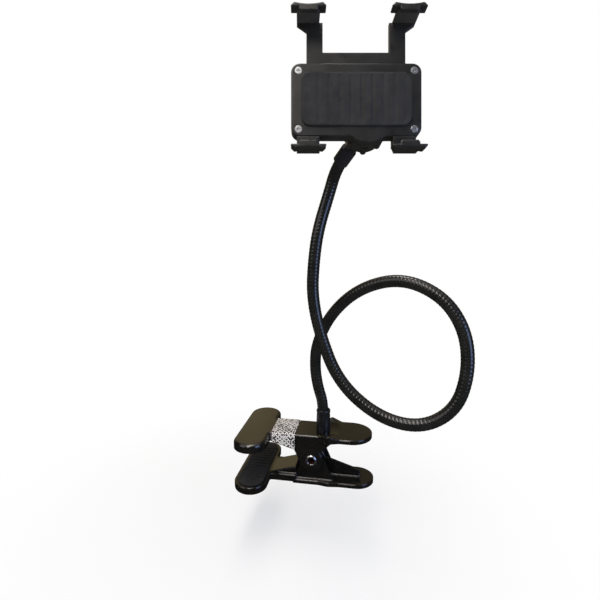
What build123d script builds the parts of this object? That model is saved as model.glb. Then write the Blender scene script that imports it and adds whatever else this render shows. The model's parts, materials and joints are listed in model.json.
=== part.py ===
from build123d import *
import math
import os

# A spring clamp with a bendable gooseneck arm and a sprung cradle on a ball joint.
# Sizes are in millimetres. Z = 0 is the upper pad's grip face, X runs along the clamp from the
# grip paddles to the thumb handles, and Y runs along the paddles.

# Grip paddles and their pads
jaw_opening = 24.0
paddle_length = 70.0
paddle_width = 24.0
paddle_thickness = 6.0
paddle_round = 2.2
pad_proud = 1.0
pad_recess = 0.8
pad_margin = 2.6

# Jaw necks, bodies and cheeks
body_width = 25.5
neck_blend = 1.0
neck_start = 12.0
neck_end = 31.0
throat_depth = 5.5
plate_thickness = 3.0
cheek_wall = 2.6
cheek_gap = 0.4
pivot_x = 42.7
upper_lobe = 8.5
lower_lobe = 8.0
cheek_reach = 14.0
gusset_reach = 27.0
gusset_drop = 2.4

# Thumb handles, whose reach is measured from the waist
handle_start = 48.0
shoulder_x = 55.0
upper_shoulder = 18.0
lower_shoulder = 14.0
shoulder_rise = 2.5
shoulder_round = 4.0
waist_x = 63.0
dish_radius = 52.0
upper_thumb = 15.5
lower_thumb = 12.9
upper_reach = 23.2
lower_reach = 25.0
web_thickness = 2.0
web_rise = 14.5
web_fall = 8.7
web_length = 27.0
web_start = 9.0
web_notch = 1.4

# Pivot rivet and closing spring
rivet_radius = 3.0
rivet_bore = 2.1
rivet_head = 4.2
rivet_flange = 1.4
rivet_rounding = 0.65
pivot_clearance = 0.08
spring_wire = 1.6
spring_mean_radius = 4.3
spring_pitch = 2.0
spring_leg_angle = 70.0
spring_seat_gap = 0.1

# Woven band round the neck of the upper jaw
band_start = 12.5
band_end = 29.8
band_thickness = 1.2
band_gap = 0.2

# Arm and its base fitting
ferrule_x = 50.0
arm_radius = 4.0
core_radius = 2.5
fit_gap = 0.1
base_length = 16.0
base_foot_radius = 5.4
base_rim_radius = 4.9
rim_height = 1.6
rim_proud = 0.25
socket_floor = 3.0
spigot_radius = 2.0
washer_radius = 4.5
washer_thickness = 0.8
nut_flats = 7.0
nut_thickness = 3.2
spigot_end = 1.0

# Where the cradle stands, which way it faces, and how far the stud is bent from its axis
ball_x = 76.8
ball_y = -36.5
ball_z = 213.7
cradle_turn = 10.0
cradle_lean = 9.0
stud_bend = 44.3
stud_roll = 48.1

# Ball joint
ball_radius = 6.5
ball_gap = 0.1
stem_radius = 2.0
stem_collar = 2.8
top_ferrule_front = 12.5
top_ferrule_back = 26.0
top_ferrule_radius = 5.0
top_ferrule_nose = 3.4
nose_length = 3.5
rivet_tail_radius = 3.0
rivet_tail_length = 1.6
sleeve_seat = 7.0
arm_run = 4.5
seat_rim = 1.5
seat_floor = 1.0
seat_wall = 2.0
socket_wall = 1.7
socket_rim = 2.0
socket_base = 1.3
socket_flange = 1.4
flange_thickness = 1.4
collet_slot = 1.2
collet_depth = 6.0
nut_wall = 1.8
nut_lobes = 8
lobe_radius = 2.0
nut_back = 5.0
nut_front = 4.5
nut_lip = 2.0
nut_mouth = 7.0
nut_flare = 9.2

# Cradle, measured in its own plane from the ball's centre
grip_opening = 69.6
claw_floor = -17.8
cradle_mid = -6.5
claw_spacing = 53.2
housing_width = 72.0
housing_bottom = -10.3
housing_top = 30.0
housing_corner = 5.0
boss_blend = 3.0
housing_back = 7.0
housing_wall = 2.0
housing_edge = 1.6
cavity_depth = 5.2
cover_thickness = 2.0
rest_thickness = 1.7
rest_margin = 5.5
grip_depth = 9.2
claw_inner_width = 20.4
claw_outer_width = 15.0
claw_thickness = 2.6
claw_depth = 5.8
claw_hollow = 0.9
claw_root = 0.8
claw_strut = 4.0
claw_arm_width = 12.5
claw_round = 0.5
claw_corner = 0.9
claw_tip = 0.6
claw_pad = 1.0
claw_pad_width = 12.0
lip_thickness = 2.0
lip_overlap = 1.1
lip_width = 10.5
lip_chamfer = 1.0
slide_thickness = 2.8
slide_gap = 0.3
tongue_side = 1.6
tongue_bottom = 10.5
tongue_top = 37.0
claw_reach = 9.0
slide_travel = 18.0
spring_spacing = 41.0
spring_slot = 5.2
spring_radius = 1.6
loop_radius = 1.25
loop_wire = 0.35
post_radius = 0.8
lower_post = -5.0
upper_post = 25.0
screw_inset = 4.0
screw_boss = 2.9
screw_radius = 1.0
screw_head = 2.0
screw_length = 5.0

# Corner points of the arm's route from the top of the base ferrule, measured from its foot
route_points = [
    (0.0, 0.0, 20.5),
    (-4.2, -1.5, 34.0),
    (-6.3, -2.6, 50.0),
    (-4.9, -3.9, 67.5),
    (6.0, -8.2, 91.0),
    (26.0, -16.0, 110.1),
    (52.3, -25.5, 118.1),
    (76.3, -35.2, 108.6),
    (89.3, -42.3, 89.4),
    (91.7, -46.9, 65.5),
    (85.2, -49.2, 41.8),
    (65.1, -48.5, 28.4),
    (38.9, -43.1, 31.9),
    (13.6, -35.1, 50.6),
    (0.4, -27.9, 80.2),
    (-5.3, -24.4, 105.0),
    (-4.5, -24.0, 127.0),
    (-2.0, -22.4, 148.0),
    (4.3, -16.6, 171.3),
]
bend_share = 0.45

plate_top = pad_proud + paddle_thickness
plate_under = plate_top - plate_thickness
mid_level = -jaw_opening / 2
throat_level = pad_proud - throat_depth
pivot = Vector(pivot_x, 0, mid_level)
pivot_axis = Axis(pivot, (0, 1, 0))
inner_cheek = body_width / 2 - cheek_wall - cheek_gap
upper_tip = waist_x + upper_reach

ball_centre = Vector(ball_x, ball_y, ball_z)
turn = math.radians(cradle_turn)
lean = math.radians(cradle_lean)
cradle_out = Vector(math.sin(turn) * math.cos(lean), -math.cos(turn) * math.cos(lean), math.sin(lean))
cradle_right = Vector(math.cos(turn), math.sin(turn), 0)
cradle = Plane(origin=ball_centre, x_dir=cradle_right, z_dir=cradle_out)
bend = math.radians(stud_bend)
roll = math.radians(stud_roll)
stud_side = cradle.x_dir * math.cos(roll) + cradle.y_dir * math.sin(roll)
stud_dir = stud_side * math.sin(bend) + cradle.z_dir * math.cos(bend)
stud = Plane(origin=ball_centre, x_dir=stud_dir.cross(cradle.z_dir), z_dir=stud_dir)

foot = Vector(ferrule_x, 0, plate_top)

os.makedirs("parts", exist_ok=True)


def save(part, name):
    """Label a finished piece and write its file."""
    part.label = name
    export_step(part, f"parts/{name}.step")


def turning_plane(frame):
    """Plane for a turned profile: its x is the radius, its y runs along the frame's axis."""
    return Plane(origin=frame.origin, x_dir=frame.x_dir, z_dir=-frame.y_dir)


def turning_axis(frame):
    """Axis of a turned piece."""
    return Axis(frame.origin, frame.z_dir)


def side_plane(x):
    """Side view of the cradle at a place across it: its x runs up the cradle, its y to the front."""
    return Plane(cradle.from_local_coords(Vector(x, 0, 0)), x_dir=cradle.y_dir, z_dir=cradle.x_dir)


def grip_plan(length):
    """Plan of a grip paddle and the neck that carries it, up to a length along the clamp."""
    with BuildSketch() as plan:
        SlotOverall(paddle_length, paddle_width, rotation=90)
        with Locations((length / 2, 0)):
            Rectangle(length, body_width)
        corners = plan.vertices().filter_by(
            lambda v: abs(v.X - paddle_width / 2) < 0.01 and abs(abs(v.Y) - body_width / 2) < 0.01
        )
        fillet(corners, neck_blend)
    return plan.sketch


def handle_plan(reach, thumb, shoulder):
    """Plan of a jaw body and its thumb handle: shoulders, a straight waist and a round end past it."""
    tip = waist_x + reach
    end = tip - thumb
    half = body_width / 2
    with BuildSketch() as plan:
        with BuildLine():
            Polyline((end, thumb), (waist_x, thumb), (shoulder_x, shoulder), (handle_start, half),
                     (neck_end - 2, half), (neck_end - 2, -half), (handle_start, -half),
                     (shoulder_x, -shoulder), (waist_x, -thumb), (end, -thumb))
            ThreePointArc((end, -thumb), (tip, 0), (end, thumb))
        make_face()
        shoulders = plan.vertices().filter_by(lambda v: shoulder_x - 0.01 < v.X < waist_x + 0.01)
        fillet(shoulders, shoulder_round)
    return plan.sketch


def lobe_hull(lobe, corners):
    """Side view of a cheek: the hull of the round lobe at the pivot and two corners on the plate."""
    with BuildSketch() as hull:
        with Locations((pivot.X, pivot.Z)):
            Circle(lobe)
        with BuildLine():
            Line(corners[0], corners[1])
        make_hull()
    return hull.sketch


def claw_plan():
    """Front view of a claw below its grip face: a tapered block with a hollow outer edge."""
    half_in = claw_inner_width / 2
    half_out = claw_outer_width / 2
    with BuildSketch() as plan:
        with BuildLine():
            Polyline((-half_out, -claw_thickness), (-half_in, 0), (half_in, 0), (half_out, -claw_thickness))
            ThreePointArc((half_out, -claw_thickness), (0, claw_hollow - claw_thickness),
                          (-half_out, -claw_thickness))
        make_face()
        fillet(plan.vertices().group_by(Axis.Y)[-1], claw_tip)
        fillet(plan.vertices().group_by(Axis.Y)[0], claw_corner)
    return plan.sketch


def housing_plan():
    """Front view of the cradle's housing: a rounded plate with a round boss at the ball."""
    with BuildSketch() as plan:
        with Locations((cradle_mid, housing_mid_y)):
            RectangleRounded(housing_width, housing_height, housing_corner)
        Circle(boss_radius)
        hollows = plan.vertices().filter_by(lambda v: abs(v.X) < boss_radius and abs(v.Y - housing_bottom) < 0.01)
        fillet(hollows, boss_blend)
    return plan.sketch


def lip_plan():
    """Front view of a claw's lip, with chamfered ends, above its grip face."""
    half = lip_width / 2
    rise = claw_pad + lip_overlap
    with BuildSketch() as plan:
        with BuildLine():
            Polyline((-half, -1), (half, -1), (half, rise - lip_chamfer), (half - lip_chamfer, rise),
                     (lip_chamfer - half, rise), (-half, rise - lip_chamfer), (-half, -1))
        make_face()
    return plan.sketch


# Upper jaw: paddle and neck first, then the body with its dished handle, then the cheeks
with BuildPart() as upper_jaw:
    with BuildSketch(Plane.XY.offset(pad_proud)):
        add(grip_plan(neck_end))
    extrude(amount=paddle_thickness)
    top_rim = upper_jaw.faces().sort_by(Axis.Z)[-1].edges()
    fillet(top_rim, paddle_round)
    with BuildSketch(Plane.XZ):
        with BuildLine():
            Polyline((neck_start, pad_proud), (neck_end, throat_level), (neck_end, plate_under),
                     (neck_start, plate_under), (neck_start, pad_proud))
        make_face()
    extrude(amount=body_width / 2, both=True)
    with BuildSketch(Plane.XY.offset(plate_under)):
        add(handle_plan(upper_reach, upper_thumb, upper_shoulder))
    extrude(amount=plate_thickness + shoulder_rise)
    with BuildSketch(Plane.XZ):
        with BuildLine():
            Polyline((0, plate_top), (handle_start, plate_top), (shoulder_x, plate_top + shoulder_rise),
                     (waist_x, plate_top), (upper_tip + 1, plate_top),
                     (upper_tip + 1, plate_top + 2 * shoulder_rise), (0, plate_top + 2 * shoulder_rise),
                     (0, plate_top))
        make_face()
    extrude(amount=paddle_length, both=True, mode=Mode.SUBTRACT)
    with BuildSketch(Plane.YZ.offset(neck_end)):
        with Locations((0, plate_top + dish_radius)):
            Circle(dish_radius)
    extrude(amount=upper_tip, mode=Mode.SUBTRACT)
    with BuildSketch(Plane.XZ.offset(body_width / 2)):
        add(lobe_hull(upper_lobe, ((neck_end - 1, throat_level), (neck_end - 1, plate_under))))
        with BuildLine():
            Polyline((neck_end - 1, plate_under + 1), (pivot_x + gusset_reach, plate_under + 1),
                     (pivot_x + gusset_reach, plate_under), (pivot_x + cheek_reach, plate_under - gusset_drop),
                     (pivot_x + upper_lobe * 0.72, mid_level + upper_lobe * 0.69),
                     (pivot_x, mid_level), (neck_end - 1, plate_under + 1))
        make_face()
    extrude(amount=-cheek_wall)
    mirror(about=Plane.XZ, mode=Mode.ADD)
    with Locations(Plane(pivot, z_dir=(0, 1, 0))):
        Cylinder(rivet_radius + pivot_clearance, body_width + 2, mode=Mode.SUBTRACT)
    with Locations((ferrule_x, 0, plate_top)):
        Cylinder(base_foot_radius + fit_gap, shoulder_rise, mode=Mode.SUBTRACT,
                 align=(Align.CENTER, Align.CENTER, Align.MIN))
        Cylinder(spigot_radius + fit_gap, 4 * plate_thickness, mode=Mode.SUBTRACT)
    with BuildSketch(Plane.XY.offset(pad_proud)):
        SlotOverall(paddle_length - 2 * pad_margin + fit_gap, paddle_width - 2 * pad_margin + fit_gap,
                    rotation=90)
    extrude(amount=pad_recess, mode=Mode.SUBTRACT)
save(upper_jaw.part, "upper_jaw")

# Lower jaw: the same paddle, neck and handle turned over, with inner cheeks and a centre web
lower_top = -jaw_opening - pad_proud
lower_under = -jaw_opening - plate_top
lower_plate = -jaw_opening - plate_under
with BuildPart() as lower_jaw:
    with BuildSketch(Plane.XY.offset(lower_under)):
        add(grip_plan(neck_end))
    extrude(amount=paddle_thickness)
    bottom_rim = lower_jaw.faces().sort_by(Axis.Z)[0].edges()
    fillet(bottom_rim, paddle_round)
    with BuildSketch(Plane.XZ):
        with BuildLine():
            Polyline((neck_start, lower_top), (neck_end, -jaw_opening - throat_level), (neck_end, lower_plate),
                     (neck_start, lower_plate), (neck_start, lower_top))
        make_face()
    extrude(amount=inner_cheek, both=True)
    with BuildSketch(Plane.XY.offset(lower_under)):
        add(handle_plan(lower_reach, lower_thumb, lower_shoulder))
    extrude(amount=plate_thickness)
    with BuildSketch(Plane.XZ.offset(inner_cheek)):
        add(lobe_hull(lower_lobe, ((neck_end - 1, lower_plate - 1), (pivot_x + 2 * lower_lobe, lower_plate - 1))))
    extrude(amount=-cheek_wall)
    mirror(about=Plane.XZ, mode=Mode.ADD)
    web_foot = lower_plate - 1
    web_top = web_foot + web_rise
    web_x = pivot_x + web_start
    web_end = web_x + web_length
    with BuildSketch(Plane.XZ):
        with BuildLine():
            Polyline((web_x, web_foot), (web_x, web_top), (web_end, web_top - web_fall),
                     (web_end - web_notch, web_top - web_fall - 2 * web_notch),
                     (web_end, web_top - web_fall - 3 * web_notch), (web_end - web_notch, web_foot),
                     (web_x, web_foot))
        make_face()
    extrude(amount=web_thickness / 2, both=True)
    with Locations(Plane(pivot, z_dir=(0, 1, 0))):
        Cylinder(rivet_radius + pivot_clearance, body_width + 2, mode=Mode.SUBTRACT)
    with BuildSketch(Plane.XY.offset(lower_top)):
        SlotOverall(paddle_length - 2 * pad_margin + fit_gap, paddle_width - 2 * pad_margin + fit_gap,
                    rotation=90)
    extrude(amount=-pad_recess, mode=Mode.SUBTRACT)
save(lower_jaw.part, "lower_jaw")

# Grip pads, seated in the paddles
with BuildPart() as upper_jaw_pad:
    with BuildSketch(Plane.XY):
        SlotOverall(paddle_length - 2 * pad_margin, paddle_width - 2 * pad_margin, rotation=90)
    extrude(amount=pad_proud + pad_recess)
save(upper_jaw_pad.part, "upper_jaw_pad")

with BuildPart() as lower_jaw_pad:
    with BuildSketch(Plane.XY.offset(-jaw_opening)):
        SlotOverall(paddle_length - 2 * pad_margin, paddle_width - 2 * pad_margin, rotation=90)
    extrude(amount=-pad_proud - pad_recess)
save(lower_jaw_pad.part, "lower_jaw_pad")

# Hollow rivet with a rolled flange at each end
rivet_frame = Plane(pivot, x_dir=(1, 0, 0), z_dir=(0, 1, 0))
rivet_half = body_width / 2
with BuildPart() as pivot_rivet:
    with BuildSketch(turning_plane(rivet_frame)):
        with Locations(((rivet_radius + rivet_bore) / 2, 0)):
            Rectangle(rivet_radius - rivet_bore, 2 * rivet_half + rivet_flange)
        with Locations(((rivet_head + rivet_bore) / 2, rivet_half + rivet_flange / 2),
                       ((rivet_head + rivet_bore) / 2, -rivet_half - rivet_flange / 2)):
            RectangleRounded(rivet_head - rivet_bore, rivet_flange, rivet_rounding)
    revolve(axis=turning_axis(rivet_frame))
save(pivot_rivet.part, "pivot_rivet")

# Closing spring: as many coils round the rivet as fit between the inner cheeks, and two crossing legs
leg = math.radians(spring_leg_angle)
leg_room = plate_under - spring_wire / 2 - spring_seat_gap - mid_level
leg_drop = spring_mean_radius * math.cos(leg)
leg_length = (leg_room + leg_drop) / math.sin(leg)
leg_spread = leg_length * spring_pitch / math.hypot(spring_pitch, 2 * math.pi * spring_mean_radius)
coil_room = 2 * (inner_cheek - cheek_wall - leg_spread) - spring_wire
spring_coils = int(coil_room / spring_pitch)
spring_turns = spring_coils - (90 - spring_leg_angle) / 180
coil_height = spring_pitch * spring_turns
coil_start = pivot - Vector(0, coil_height / 2, 0)
coil = Edge.make_helix(spring_pitch, coil_height, spring_mean_radius, coil_start, (0, 1, 0))
coil = coil.rotate(pivot_axis, 180 - spring_leg_angle)
with BuildPart() as torsion_spring:
    with BuildLine() as spring_path:
        Line(coil @ 0 - (coil % 0) * leg_length, coil @ 0)
        add(coil)
        Line(coil @ 1, coil @ 1 + (coil % 1) * leg_length)
    with BuildSketch(Plane(origin=spring_path.line @ 0, z_dir=spring_path.line % 0)):
        Circle(spring_wire / 2)
    sweep(path=spring_path.line)
save(torsion_spring.part, "torsion_spring")

# Woven band: a sleeve that follows the neck's deepening section
band_slope = throat_depth / (neck_end - neck_start)


def band_section(gap):
    """Side view of the neck under the band, grown by a gap."""
    first = pad_proud - band_slope * (band_start - neck_start) - gap
    last = pad_proud - band_slope * (band_end - neck_start) - gap
    with BuildSketch() as section:
        with BuildLine():
            Polyline((band_start, plate_top + gap), (band_end, plate_top + gap), (band_end, last),
                     (band_start, first), (band_start, plate_top + gap))
        make_face()
    return section.sketch


with BuildPart() as woven_band:
    with BuildSketch(Plane.XZ):
        add(band_section(band_thickness))
    extrude(amount=body_width / 2 + band_thickness, both=True)
    fillet(woven_band.edges().filter_by(lambda e: abs((e % 0.5).Y) < 0.01 and abs((e % 0.5).X) > 0.5),
           2 * band_thickness)
    with BuildSketch(Plane.XZ):
        add(band_section(band_gap))
    extrude(amount=body_width / 2 + band_gap, both=True, mode=Mode.SUBTRACT)
save(woven_band.part, "woven_band")

# Base ferrule: tapered sleeve with a beaded rim, and a spigot through the upper jaw
spigot_bottom = plate_under - washer_thickness - nut_thickness - spigot_end
base_frame = Plane(foot, x_dir=(1, 0, 0), z_dir=(0, 0, 1))
arm_bore = arm_radius + fit_gap
with BuildPart() as base_ferrule:
    with BuildSketch(turning_plane(base_frame)):
        with BuildLine():
            Polyline((0, spigot_bottom - plate_top), (spigot_radius, spigot_bottom - plate_top),
                     (spigot_radius, 0), (base_foot_radius, 0), (base_rim_radius, base_length - rim_height),
                     (base_rim_radius + rim_proud, base_length - rim_height),
                     (base_rim_radius + rim_proud, base_length - rim_height / 3),
                     (base_rim_radius, base_length), (arm_bore, base_length), (arm_bore, socket_floor),
                     (0, socket_floor), (0, spigot_bottom - plate_top))
        make_face()
    revolve(axis=turning_axis(base_frame))
save(base_ferrule.part, "base_ferrule")

with BuildPart() as base_washer:
    with BuildSketch(Plane.XY.offset(plate_under)):
        with Locations((ferrule_x, 0)):
            Circle(washer_radius)
            Circle(spigot_radius + fit_gap, mode=Mode.SUBTRACT)
    extrude(amount=-washer_thickness)
save(base_washer.part, "base_washer")

with BuildPart() as base_nut:
    with BuildSketch(Plane.XY.offset(plate_under - washer_thickness)):
        with Locations((ferrule_x, 0)):
            RegularPolygon(nut_flats / 2, 6, major_radius=False)
            Circle(spigot_radius + fit_gap / 2, mode=Mode.SUBTRACT)
    extrude(amount=-nut_thickness)
save(base_nut.part, "base_nut")

# Arm: the skin and the steel core follow one route of straight runs and tangent arcs
route_start = foot + Vector(0, 0, socket_floor)
route_end = ball_centre - stud.z_dir * (top_ferrule_back - sleeve_seat)
last_corner = ball_centre - stud.z_dir * (top_ferrule_back + arm_run)
corners = [foot + Vector(*point) for point in route_points] + [last_corner]
route = [route_start] + corners + [route_end]


def bend_radius(before, corner, after):
    """Largest arc that the two runs at a corner leave room for."""
    arriving = corner - before
    leaving = after - corner
    half_turn = math.radians(arriving.get_angle(leaving)) / 2
    return bend_share * min(arriving.length, leaving.length) / math.tan(half_turn)


bend_radii = [bend_radius(*route[i - 1:i + 2]) for i in range(1, len(route) - 1)]
with BuildPart() as gooseneck_sleeve:
    with BuildLine() as arm_path:
        FilletPolyline(*route, radius=bend_radii)
    with BuildSketch(Plane(origin=arm_path.line @ 0, z_dir=arm_path.line % 0)):
        Circle(arm_radius)
        Circle(core_radius + fit_gap, mode=Mode.SUBTRACT)
    sweep(path=arm_path.line)
save(gooseneck_sleeve.part, "gooseneck_sleeve")

with BuildPart() as gooseneck_core:
    with BuildSketch(Plane(origin=arm_path.line @ 0, z_dir=arm_path.line % 0)):
        Circle(core_radius)
    sweep(path=arm_path.line)
save(gooseneck_core.part, "gooseneck_core")

arm_length = sum(edge.length for edge in arm_path.edges())
sleeve_area = math.pi * (arm_radius ** 2 - (core_radius + fit_gap) ** 2)
print("arm length", round(arm_length, 1), "bend radii", [round(r, 1) for r in bend_radii])
print("sleeve volume", round(gooseneck_sleeve.part.volume), "expected", round(sleeve_area * arm_length))

# Top ferrule: a sleeve on the end of the arm whose nose holds the ball stud
tail_room = top_ferrule_back - sleeve_seat
nose_wall = tail_room - rivet_tail_length - 2 * fit_gap
with BuildPart() as top_ferrule:
    with BuildSketch(turning_plane(stud)):
        with BuildLine():
            Polyline((stem_radius + pivot_clearance, -top_ferrule_front), (top_ferrule_nose, -top_ferrule_front),
                     (top_ferrule_radius, -top_ferrule_front - nose_length),
                     (top_ferrule_radius, -top_ferrule_back), (arm_bore, -top_ferrule_back),
                     (arm_bore, -tail_room), (rivet_tail_radius + fit_gap, -tail_room),
                     (rivet_tail_radius + fit_gap, -nose_wall), (stem_radius + pivot_clearance, -nose_wall),
                     (stem_radius + pivot_clearance, -top_ferrule_front))
        make_face()
    revolve(axis=turning_axis(stud))
save(top_ferrule.part, "top_ferrule")

# Ball stud: ball, stem with a collar against the ferrule's nose, and a riveted tail
collar_back = top_ferrule_front - fit_gap
with BuildPart() as ball_stud:
    with BuildSketch(turning_plane(stud)):
        with BuildLine():
            Polyline((0, -tail_room + fit_gap), (rivet_tail_radius, -tail_room + fit_gap),
                     (rivet_tail_radius, -tail_room + fit_gap + rivet_tail_length),
                     (stem_radius, -tail_room + fit_gap + rivet_tail_length), (stem_radius, -collar_back),
                     (stem_collar, -collar_back), (stem_radius, stem_collar - stem_radius - collar_back),
                     (stem_radius, 0), (0, 0), (0, -tail_room + fit_gap))
        make_face()
    revolve(axis=turning_axis(stud))
    with Locations(stud):
        Sphere(ball_radius)
save(ball_stud.part, "ball_stud")

# Ball seat: nylon cup that the ball turns in
cup_radius = ball_radius + ball_gap
seat_radius = cup_radius + seat_wall
seat_top = cup_radius + seat_floor
with BuildPart() as ball_seat:
    with BuildSketch(turning_plane(cradle)):
        with Locations((seat_radius / 2, (seat_top - seat_rim) / 2)):
            Rectangle(seat_radius, seat_top + seat_rim)
        Circle(cup_radius, mode=Mode.SUBTRACT)
    revolve(axis=turning_axis(cradle))
save(ball_seat.part, "ball_seat")

# Ball socket: cup with collet slots, whose flange is held inside the cradle's back wall
cup_bore = seat_radius + pivot_clearance
socket_radius = cup_bore + socket_wall
socket_floor_z = seat_top + pivot_clearance
inner_back = housing_back + housing_wall
with BuildPart() as ball_socket:
    with BuildSketch(turning_plane(cradle)):
        with BuildLine():
            Polyline((0, socket_floor_z), (cup_bore, socket_floor_z), (cup_bore, -socket_rim),
                     (socket_radius, -socket_rim), (socket_radius, inner_back),
                     (socket_radius + socket_flange, inner_back),
                     (socket_radius + socket_flange, inner_back + flange_thickness),
                     (0, inner_back + flange_thickness), (0, socket_floor_z))
        make_face()
    revolve(axis=turning_axis(cradle))
    with BuildSketch(cradle.offset(-socket_rim)):
        for angle in (0, 90):
            Rectangle(3 * socket_radius, collet_slot, rotation=angle)
    extrude(amount=collet_depth, mode=Mode.SUBTRACT)
save(ball_socket.part, "ball_socket")

# Ring nut: lobed ring with a flared mouth behind the ball
nut_bore = socket_radius + pivot_clearance
nut_radius = nut_bore + nut_wall
with BuildPart() as ring_nut:
    with BuildSketch(cradle.offset(-nut_back)):
        Circle(nut_radius)
        with PolarLocations(nut_radius - lobe_radius / 3, nut_lobes):
            Circle(lobe_radius)
    extrude(amount=nut_back + nut_front)
    with BuildSketch(turning_plane(cradle)):
        with BuildLine():
            Polyline((0, nut_front + 1), (nut_bore, nut_front + 1), (nut_bore, nut_lip - nut_back),
                     (nut_mouth, nut_lip - nut_back), (nut_flare, -nut_back), (0, -nut_back),
                     (0, nut_front + 1))
        make_face()
    revolve(axis=turning_axis(cradle), mode=Mode.SUBTRACT)
save(ring_nut.part, "ring_nut")

# Levels of the cradle in front of the ball
cover_back = inner_back + cavity_depth
cover_front = cover_back + cover_thickness
rest_front = cover_front + rest_thickness
lip_back = rest_front + grip_depth
claw_front = lip_back + lip_thickness
claw_back = claw_front - claw_depth
housing_mid_y = (housing_top + housing_bottom) / 2
housing_height = housing_top - housing_bottom
lower_face = claw_floor - claw_pad
upper_face = claw_floor + grip_opening + claw_pad
boss_radius = socket_radius + socket_flange + fit_gap + housing_wall
claw_columns = (cradle_mid - claw_spacing / 2, cradle_mid + claw_spacing / 2)
screw_rows = (housing_bottom + screw_inset, housing_top - screw_inset)
screw_spacing_x = housing_width - 2 * screw_inset
screw_columns = (cradle_mid - screw_spacing_x / 2, cradle_mid + screw_spacing_x / 2)
screw_places = [(x, y) for x in screw_columns for y in screw_rows]
tongue_width = screw_spacing_x - 2 * (screw_boss + tongue_side)
spring_columns = (cradle_mid - spring_spacing / 2, cradle_mid + spring_spacing / 2)
slide_back = cover_back - slide_gap - slide_thickness
spring_level = slide_back + slide_thickness / 2

# Back half of the cradle: open-topped tray with two lower claws
with BuildPart() as holder_back:
    with BuildSketch(cradle.offset(housing_back)):
        add(housing_plan())
    extrude(amount=housing_wall + cavity_depth)
    back_rim = holder_back.faces().sort_by(Axis(ball_centre, cradle_out))[0].edges()
    fillet(back_rim, housing_edge)
    cavity_width = housing_width - 2 * housing_wall
    with BuildSketch(cradle.offset(inner_back)):
        with Locations((cradle_mid, housing_mid_y + housing_wall)):
            Rectangle(cavity_width, housing_height)
        Circle(boss_radius - housing_wall)
    extrude(amount=cavity_depth, mode=Mode.SUBTRACT)
    with BuildSketch(cradle.offset(inner_back)):
        with Locations(*screw_places):
            Circle(screw_boss)
        with Locations(*[(x, lower_post) for x in spring_columns]):
            Circle(post_radius)
    extrude(amount=cavity_depth)
    with BuildSketch(cradle.offset(inner_back)):
        with Locations(*screw_places):
            Circle(screw_radius + fit_gap)
    extrude(amount=cavity_depth, mode=Mode.SUBTRACT)
    with BuildSketch(cradle.offset(housing_back)):
        Circle(socket_radius + fit_gap)
    extrude(amount=housing_wall, mode=Mode.SUBTRACT)
    strut_top = housing_bottom + housing_wall
    for x in claw_columns:
        with BuildSketch(side_plane(x)):
            with BuildLine():
                Polyline((lower_face, claw_front - 1), (lower_face - claw_thickness / 2, claw_front - 1),
                         (lower_face - claw_thickness / 2, claw_back), (lower_face - claw_root, cover_front - 1),
                         (housing_bottom - claw_strut, inner_back), (strut_top, inner_back),
                         (strut_top, cover_back), (housing_bottom - fit_gap, cover_back),
                         (housing_bottom - fit_gap, cover_front), (lower_face, cover_front),
                         (lower_face, claw_front - 1))
            make_face()
        extrude(amount=claw_arm_width / 2, both=True)
    with BuildSketch(cradle.offset(claw_back)):
        with Locations(*[(x, lower_face) for x in claw_columns]):
            add(claw_plan())
    extrude(amount=claw_depth)
    with BuildSketch(cradle.offset(lip_back)):
        with Locations(*[(x, lower_face) for x in claw_columns]):
            add(lip_plan())
    extrude(amount=lip_thickness)
    claw_faces = holder_back.faces().sort_by(Axis(ball_centre, cradle_out))[-2:]
    chamfer(claw_faces.edges(), claw_round)
save(holder_back.part, "holder_back")

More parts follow.
